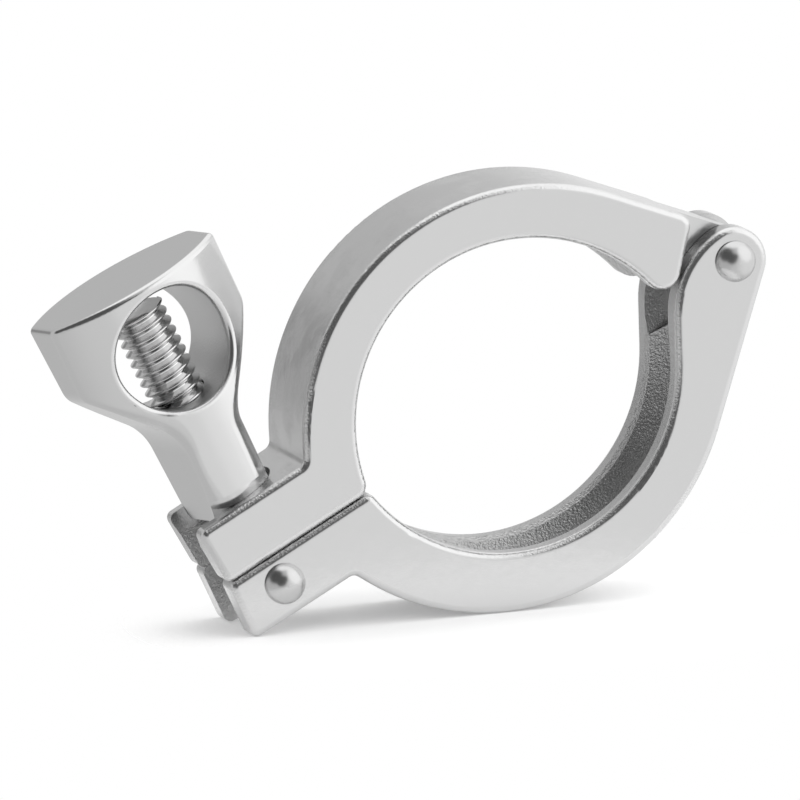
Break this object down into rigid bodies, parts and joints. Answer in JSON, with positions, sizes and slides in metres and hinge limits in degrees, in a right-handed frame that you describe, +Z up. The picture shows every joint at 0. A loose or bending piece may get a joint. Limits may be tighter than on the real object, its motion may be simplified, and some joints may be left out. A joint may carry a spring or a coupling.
{
  "type": "sanitary hinged clamp",
  "caption": "Hinged two-part clamp that draws a pair of sanitary tube ferrules together, closed by a swing bolt and a wing nut.",
  "frame": {"origin": "axis of the lower half's ferrule groove, at the middle of the clamp's width", "axes": "+Y along the tube, away from the viewer of the front side; +Z up as the clamp stands on the lower half's back and its lug's corner; +X towards the hinge"},
  "size_m": [0.0957, 0.0208, 0.0551],
  "materials": {
    "cast_steel": "investment-cast stainless steel, tumbled satin",
    "polished_steel": "polished stainless steel rivet",
    "threaded_steel": "rolled stainless steel thread",
    "nut_steel": "investment-cast stainless steel, tumbled satin"
  },
  "bodies": {
    "lower": {"lower_half": "cast_steel", "hinge_pin": "polished_steel", "bolt_pin": "polished_steel"},
    "upper": {"upper_half": "cast_steel"},
    "bolt": {"swing_bolt": "threaded_steel"},
    "nut": {"wing_nut": "nut_steel"}
  },
  "joints": [
    {"name": "clamp_hinge", "type": "hinge", "parent": "lower", "child": "upper", "pos_m": [0.03128, 0, 0.01216], "axis": [0, 1, 0], "range_deg": [0, 60]},
    {"name": "bolt_swing", "type": "hinge", "parent": "lower", "child": "bolt", "pos_m": [-0.03066, 0, -0.02396], "axis": [0, -1, 0], "range_deg": [0, 78]},
    {"name": "wing_nut_travel", "type": "slide", "parent": "bolt", "child": "nut", "axis": [-0.4051, 0, 0.9143], "range_m": [0, 0.093]}
  ],
  "couplings": [
    {"joint": "bolt_swing", "follows": "clamp_hinge", "ratio": 1.3},
    {"joint": "wing_nut_travel", "follows": "clamp_hinge", "m_per_rad": 0.088808}
  ]
}
